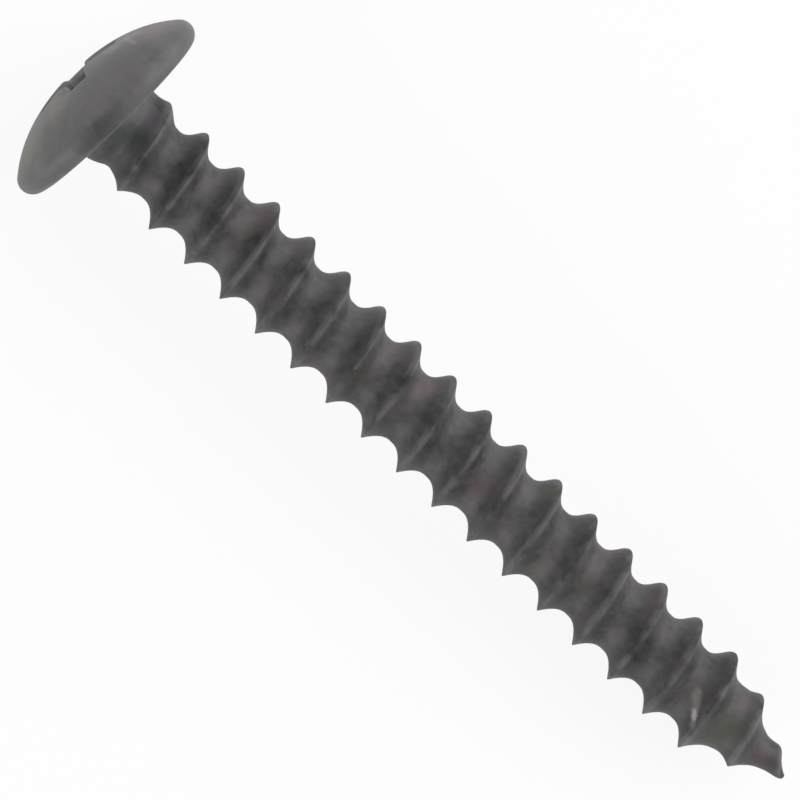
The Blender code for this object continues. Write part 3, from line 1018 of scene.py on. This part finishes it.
half = FLOOR_SIZE / 2
corners = [(-half, -half, 0), (half, -half, 0), (half, half, 0), (-half, half, 0)]
floor_mesh = bpy.data.meshes.new("floor")
floor_mesh.from_pydata(corners, [], [(0, 1, 2, 3)])
floor = new_object("floor", floor_mesh)
paper = bpy.data.materials.new("white_paper")
paper.use_nodes = True
tree = paper.node_tree
body = tree.nodes["Principled BSDF"]
body.inputs["Base Color"].default_value = PAPER_COLOR
body.inputs["Roughness"].default_value = 0.9
path = add_node(tree, "ShaderNodeLightPath", {}).outputs
glow = add_node(tree, "ShaderNodeEmission", {}, Strength=1.0)
share = add_node(tree, "ShaderNodeMath", {"operation": "MULTIPLY"})
fill(tree, share.inputs[0], path["Is Camera Ray"])
fill(tree, share.inputs[1], GLOW_SHARE)
mix = add_node(tree, "ShaderNodeMixShader", {}, Fac=share.outputs[0])
fill(tree, mix.inputs[1], body.outputs["BSDF"])
fill(tree, mix.inputs[2], glow.outputs["Emission"])
fill(tree, tree.nodes["Material Output"].inputs["Surface"], mix.outputs["Shader"])
floor.data.materials.append(paper)
floor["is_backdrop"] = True
print("the paper is", FLOOR_SIZE, "m square")

# %% [markdown]
# ## The light
#
# The surroundings are a white room. Seen by the camera and in reflections it has full strength, so that
# the glancing edges of the steel pick up white, but as a light it is much weaker, or the thread would lose
# its shadows.

# %% The room
ROOM_LIGHT = 0.42              # the room's strength as a light

world = bpy.data.worlds.new("studio")
bpy.context.scene.world = world
world.use_nodes = True
tree = world.node_tree
background = tree.nodes["Background"]
background.inputs["Color"].default_value = (1, 1, 1, 1)
path = add_node(tree, "ShaderNodeLightPath", {}).outputs
seen = path["Is Camera Ray"]
for ray in ("Is Glossy Ray", "Is Transmission Ray"):
    either = add_node(tree, "ShaderNodeMath", {"operation": "MAXIMUM"})
    fill(tree, either.inputs[0], seen)
    fill(tree, either.inputs[1], path[ray])
    seen = either.outputs[0]
strength = add_node(tree, "ShaderNodeMapRange", {}, Value=seen, To_Min=ROOM_LIGHT, To_Max=1.0)
fill(tree, background.inputs["Strength"], strength.outputs["Result"])
print("the room lights the screw with", ROOM_LIGHT, "of the white that is seen")

# %% [markdown]
# The lamps are large and soft and stand low, to both sides of the screw. Light from straight above would
# flatten the thread: from the side, each turn has a bright flank, a dark one and a light edge. The small
# lamp beyond the head lights the dome and the recess.

# %% The softboxes
SOFTBOXES = (                  # name, place in m, size in m, power in W
    ("key_softbox", (0.40, 0.80, 0.42), 1.2, 13.5),
    ("head_softbox", (-0.9, 0.15, 0.25), 0.5, 1.5),
    ("edge_softbox", (-0.50, 0.85, 0.16), 0.4, 2.0),
    ("fill_softbox", (-0.10, -0.88, 0.24), 0.8, 8.0),
)


def softbox(name, place, size, power):
    """A square lamp that faces the origin."""
    lamp = bpy.data.lights.new(name, "AREA")
    lamp.shape = "SQUARE"
    lamp.size = size
    lamp.energy = power
    thing = bpy.data.objects.new(name, lamp)
    bpy.context.scene.collection.objects.link(thing)
    thing.location = place
    thing.rotation_mode = "QUATERNION"
    thing.rotation_quaternion = (-Vector(place)).to_track_quat("-Z", "Y")
    thing.visible_camera = False


for name, place, size, power in SOFTBOXES:
    softbox(name, place, size, power)
print("the lamps give", sum(lamp[3] for lamp in SOFTBOXES), "W in all")

# %% [markdown]
# ## The camera
#
# The camera looks almost straight down on the screw, with a slight lean towards the head, and the screw
# runs from one corner of the picture to the other. The focal length follows from how many pixels a
# millimetre takes up at the camera's distance. Moving the camera sideways does the framing, so the lens
# needs no shift.

# %% The camera
CAMERA_DISTANCE = 800 * MM
PIXELS_PER_MM = 23.504         # at the height of the floor
SENSOR = 36.0
IMAGE_SIZE = 800
IMAGE_TURN = radians(44.502)
OFF_RIGHT = -1.075 * MM        # from the frame's origin to the middle of the image
OFF_UP = 0.945 * MM

tilted_x = Vector((cos(CAMERA_LEAN), 0, sin(CAMERA_LEAN)))
image_right = tilted_x * cos(IMAGE_TURN) + across * sin(IMAGE_TURN)
image_up = across * cos(IMAGE_TURN) - tilted_x * sin(IMAGE_TURN)
lens = bpy.data.cameras.new("camera")
lens.sensor_width = SENSOR
lens.lens = PIXELS_PER_MM * (CAMERA_DISTANCE / MM) * SENSOR / IMAGE_SIZE
lens.clip_start = 0.05
lens.clip_end = 20
camera = bpy.data.objects.new("camera", lens)
bpy.context.scene.collection.objects.link(camera)
place = to_camera * CAMERA_DISTANCE + image_right * OFF_RIGHT + image_up * OFF_UP
facing = Matrix((image_right.normalized(), image_up.normalized(), to_camera)).transposed().to_4x4()
camera.matrix_world = Matrix.Translation(place) @ facing
bpy.context.scene.camera = camera
bpy.context.scene.view_settings.view_transform = "Standard"
print("the lens is", round(lens.lens, 1), "mm")

# %% [markdown]
# ## Measuring the result
#
# The box of the finished model is compared with the CAD box from the start, and how far it stands out of
# that box is printed. A looser skin round the solid would be easy to miss in a picture, and the numbers
# show it at once.

# %% Compare the box and finish
seen_low, seen_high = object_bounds()
outside = [max(0, c) / MM for c in list(cad_low - seen_low) + list(seen_high - cad_high)]
print("outside the box by", [round(c, 4) for c in outside], "mm")
